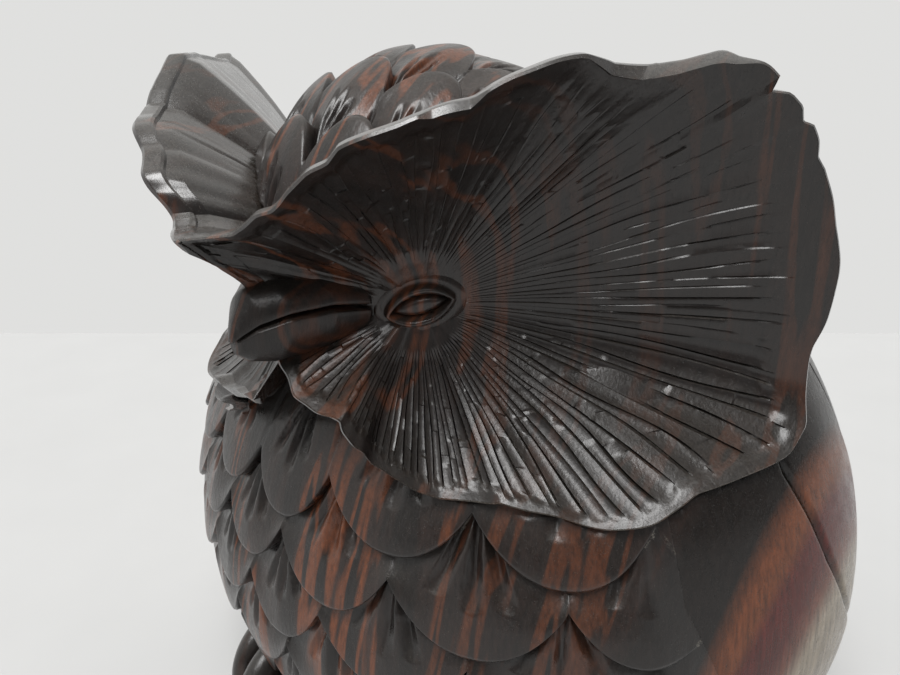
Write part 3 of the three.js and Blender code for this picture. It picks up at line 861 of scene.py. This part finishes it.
def wood(name, darken=0.0, rough=0.4, coat=0.1, dust_and_painted_light=1.0, zones=1.0, tool=1.0):
    """Striped ebony: growth layers across X, grain along Z, pores, painted shade and dust in the
    cuts, upward faces lightened as partly a dust film, partly painted sheen.
    """
    n = Nodes(name)
    place_at = n.add("TexCoord").outputs["Object"]
    units = n.stretch(place_at, 1 / UNIT, 1 / UNIT, 1 / UNIT)
    x = n.add("SeparateXYZ", {0: units}).outputs[0]

    drift = n.noise(n.stretch(units, 0.02, 0.02, 0.012), 1.0, 2.0)
    z = n.add("SeparateXYZ", {0: units}).outputs[2]
    wander = n.math("MULTIPLY", n.math("SUBTRACT", drift, 0.5), 7.0)
    layer = n.math("ADD", n.math("ABSOLUTE", x), wander)
    layer = n.math("ADD", layer, n.level(z, 48.0, 82.0, 1.0, -4.5))
    stripes = n.noise(n.stretch(units, 0.2, 0.05, 0.007), 1.0, 2.5, 0.55)
    stripe_colour = n.ramp(stripes, [
        (0.40, BLACK_WOOD), (0.50, DARK_BROWN), (0.53, DARK_BROWN), (0.56, ORANGE_BROWN),
        (0.60, ORANGE_BROWN), (0.625, BLACK_WOOD), (0.70, BLACK_WOOD), (0.74, DARK_BROWN),
    ])
    where = n.level(layer, 40.0, 75.0)
    zone_colour = n.ramp(where, [
        (0.20, DARK_BROWN), (0.30, BLACK_WOOD), (0.50, BLACK_WOOD), (0.57, ORANGE_BROWN),
        (0.62, ORANGE_BROWN), (0.66, DARK_RED), (0.735, DARK_RED), (0.78, PINK), (0.83, SAPWOOD),
        (1.0, SAPWOOD),
    ])
    zone_share = n.math("MULTIPLY", n.level(layer, 42.0, 49.0), zones)
    colour = n.mix(zone_share, stripe_colour, zone_colour)
    shade = n.level(layer, 14.0, 26.0, darken, min(1.0, darken + 0.45))
    shade = n.math("MULTIPLY", shade, n.math("SUBTRACT", 1.0, zone_share))
    colour = n.mix(shade, colour, (*BLACK_WOOD, 1))

    grain = n.noise(n.stretch(units, 1.6, 1.6, 0.06), 1.0, 4.0, 0.7)
    colour = n.mix(1.0, colour, n.ramp(grain, [(0.3, (0.5,) * 3), (0.7, (1.4,) * 3)]), "MULTIPLY")
    pores = n.noise(n.stretch(units, 7.0, 7.0, 0.55), 1.0, 2.0, 0.6)
    pore = n.level(pores, 0.60, 0.70)
    colour = n.mix(n.math("MULTIPLY", pore, 0.5), colour, (0.004, 0.003, 0.003, 1))

    cavity = n.add("Attribute", attribute_name="dust_and_painted_light").outputs["Fac"]
    # Painted shade: cuts, seams and tucks darkened towards near black.
    colour = n.mix(n.math("MULTIPLY", cavity, 0.7), colour, (0.003, 0.0025, 0.0025, 1))
    speckle = n.noise(units, 2.6, 5.0, 0.75)
    dust_and_sheen = n.math("MULTIPLY", n.level(n.math("MULTIPLY", cavity, speckle), 0.38, 0.6), dust_and_painted_light)
    specks = n.level(n.noise(units, 5.5, 2.0, 0.5), 0.70, 0.76)
    dust_and_sheen = n.math("MAXIMUM", dust_and_sheen, n.math("MULTIPLY", specks, 0.25 * dust_and_painted_light))
    # Upward faces lightened towards the dust colour: partly a dust film, partly painted sheen.
    upwards = n.add("SeparateXYZ", {0: n.add("NewGeometry").outputs["Normal"]}).outputs[2]
    upward_dust_and_sheen = n.math("MULTIPLY", n.level(upwards, 0.35, 1.0), n.level(speckle, 0.35, 0.65, 0.03, 0.16))
    dust_and_sheen = n.math("MAXIMUM", dust_and_sheen, n.math("MULTIPLY", upward_dust_and_sheen, dust_and_painted_light))
    colour = n.mix(dust_and_sheen, colour, (*DUST, 1))
    n.put(n.shader.inputs["Base Color"], colour)

    haze = n.noise(units, 0.35, 4.0, 0.6)
    gloss = n.level(haze, 0.3, 0.7, rough - 0.07, rough + 0.09)
    gloss = n.math("ADD", gloss, n.math("MULTIPLY", dust_and_sheen, 0.35))
    n.put(n.shader.inputs["Roughness"], gloss)
    n.shader.inputs["Specular IOR Level"].default_value = 0.42
    n.shader.inputs["Coat Weight"].default_value = coat
    n.shader.inputs["Coat Roughness"].default_value = 0.22

    marks = n.noise(n.stretch(units, 1.5, 1.5, 0.5), 1.0, 4.0, 0.5)
    height = n.math("ADD", n.math("MULTIPLY", marks, 0.14 * tool), n.math("MULTIPLY", pore, -0.05))
    height = n.math("ADD", height, n.math("MULTIPLY", grain, 0.05))
    height = n.math("ADD", height, n.math("MULTIPLY", dust_and_sheen, 0.08))
    bump = n.add("Bump", {"Strength": 0.6, "Distance": UNIT, "Height": height})
    n.put(n.shader.inputs["Normal"], bump.outputs[0])
    return n.material


# --- stage: floor, light and camera -------------------------------------------------------

CAMERA_PLACE = (82.2, -122.7, 137.9)  # carving units
CAMERA_AZIMUTH, CAMERA_PITCH = 38, 20
LENS = 29.96
LIGHT_AZIMUTH, LIGHT_ELEVATION = 20, 64
FLOOR_BEYOND = 387  # carving units from the camera to the table's far edge
FLOOR_REACH = 3  # metres to the sides and towards the camera
FLOOR_DROP = 0.0004  # metres below the owl's flat underside
TABLE_DARK, TABLE_LIGHT = (0.515, 0.515, 0.51), (0.53, 0.53, 0.525)
ROOM_PALE, ROOM_DIM = (0.745, 0.745, 0.735, 1), (0.2, 0.2, 0.2, 1)
DIM_RIGHT, DIM_BACK, DIM_FULL = 0.5, 0.85, 0.35  # where the room turns dim, and how soon
SUN_STRENGTH, SUN_WIDTH = 3.3, 36  # W/m2, degrees


def view_axes():
    a, p = math.radians(CAMERA_AZIMUTH), math.radians(CAMERA_PITCH)
    forward = Vector((-math.sin(a) * math.cos(p), math.cos(a) * math.cos(p), -math.sin(p)))
    level = Vector((-math.sin(a), math.cos(a), 0))
    right = Vector((math.cos(a), math.sin(a), 0))
    return forward, level, right


def camera():
    data = bpy.data.cameras.new("camera")
    data.lens = LENS
    data.clip_start = 0.005
    data.clip_end = 50
    seen = bpy.data.objects.new("camera", data)
    bpy.context.scene.collection.objects.link(seen)
    seen.location = place(CAMERA_PLACE)
    seen.rotation_euler = view_axes()[0].to_track_quat("-Z", "Y").to_euler()
    bpy.context.scene.camera = seen


def floor():
    """A pale table top that ends in a straight far edge."""
    _, level, right = view_axes()
    origin = Vector(place(CAMERA_PLACE))
    origin.z = -FLOOR_DROP
    far = origin + level * FLOOR_BEYOND * UNIT
    near, aside = origin - level * FLOOR_REACH, right * FLOOR_REACH
    corners = [near - aside, near + aside, far + aside, far - aside]
    mesh = bpy.data.meshes.new("floor")
    mesh.from_pydata([tuple(c) for c in corners], [], [(0, 1, 2, 3)])
    table = bpy.data.objects.new("floor", mesh)
    bpy.context.scene.collection.objects.link(table)
    n = Nodes("pale_floor")
    at = n.add("TexCoord").outputs["Object"]
    tint = n.ramp(n.noise(at, 30.0, 3.0), [(0.3, TABLE_DARK), (0.7, TABLE_LIGHT)])
    n.put(n.shader.inputs["Base Color"], tint)
    n.shader.inputs["Roughness"].default_value = 0.7
    mesh.materials.append(n.material)


def light():
    """A pale room, dim behind the camera and to its right, and one very soft light high up."""
    world = bpy.data.worlds.new("pale_room")
    bpy.context.scene.world = world
    world.use_nodes = True
    tree = world.node_tree
    towards_dim = tree.nodes.new("ShaderNodeVectorMath")
    towards_dim.operation = "DOT_PRODUCT"
    direction = tree.nodes.new("ShaderNodeTexCoord").outputs["Generated"]
    tree.links.new(direction, towards_dim.inputs[0])
    _, level, right = view_axes()
    towards_dim.inputs[1].default_value = right * DIM_RIGHT - level * DIM_BACK
    ramp = tree.nodes.new("ShaderNodeValToRGB")
    tree.links.new(towards_dim.outputs["Value"], ramp.inputs["Fac"])
    ramp.color_ramp.elements[0].position = 0.0
    ramp.color_ramp.elements[0].color = ROOM_PALE
    ramp.color_ramp.elements[1].position = DIM_FULL
    ramp.color_ramp.elements[1].color = ROOM_DIM
    tree.links.new(ramp.outputs["Color"], tree.nodes["Background"].inputs[0])
    data = bpy.data.lights.new("soft_top_light", "SUN")
    data.energy = SUN_STRENGTH
    data.angle = math.radians(SUN_WIDTH)
    lamp = bpy.data.objects.new("soft_top_light", data)
    bpy.context.scene.collection.objects.link(lamp)
    a, e = math.radians(LIGHT_AZIMUTH), math.radians(LIGHT_ELEVATION)
    towards = Vector((math.sin(a) * math.cos(e), -math.cos(a) * math.cos(e), math.sin(e)))
    lamp.rotation_euler = towards.to_track_quat("Z", "Y").to_euler()
    bpy.context.scene.view_settings.view_transform = "Standard"


# --- everything together ------------------------------------------------------------------

EBONY = wood("dark_ebony", darken=0.42, rough=0.33, coat=0.35, zones=0.2, dust_and_painted_light=0.8)
# Its larger dust amount lightens upward faces of the discs' rims and backs: partly dust film,
# partly painted sheen.
SMOOTH_EBONY = wood(
    "smooth_ebony", darken=0.4, rough=0.24, coat=1.0, zones=0.2, dust_and_painted_light=1.4, tool=0.35
)
STRIPED = wood("striped_ebony", darken=0.1, rough=0.31, coat=0.32, dust_and_painted_light=1.0)
POLISHED = wood("polished_striped_wood", rough=0.26, coat=0.05, dust_and_painted_light=0.3, tool=0.3)
BROWN = wood("brown_heartwood", darken=0.66, rough=0.36, coat=0.1, dust_and_painted_light=0.5, zones=0)
LID = wood("brown_heartwood_lids", darken=0.1, rough=0.3, coat=0.3, dust_and_painted_light=0.8, zones=0)

camera()
floor()
light()
torso(EBONY)
head(EBONY)
disc("left", 3)
disc("right", 8)
for owl_side in ("left", "right"):
    eye(owl_side, LID, EBONY)
    wing(owl_side, 1 if owl_side == "left" else -1, POLISHED)
    foot(owl_side, 1 if owl_side == "left" else -1, EBONY)
beak_half("upper_beak_carved", "upper_beak", UPPER_BEAK, 0.04, 1.4, BROWN)
beak_half("lower_beak_carved", "lower_beak", LOWER_BEAK, 0.9, 1.0, BROWN)
for row in range(len(CROWN_TIPS)):
    crown_row(row, STRIPED)
for row in range(len(NAPE_TIPS)):
    nape_row(row, STRIPED)
for row in range(len(BREAST_TIPS)):
    breast_row(row, STRIPED)
back_strip(STRIPED)
tail(STRIPED)
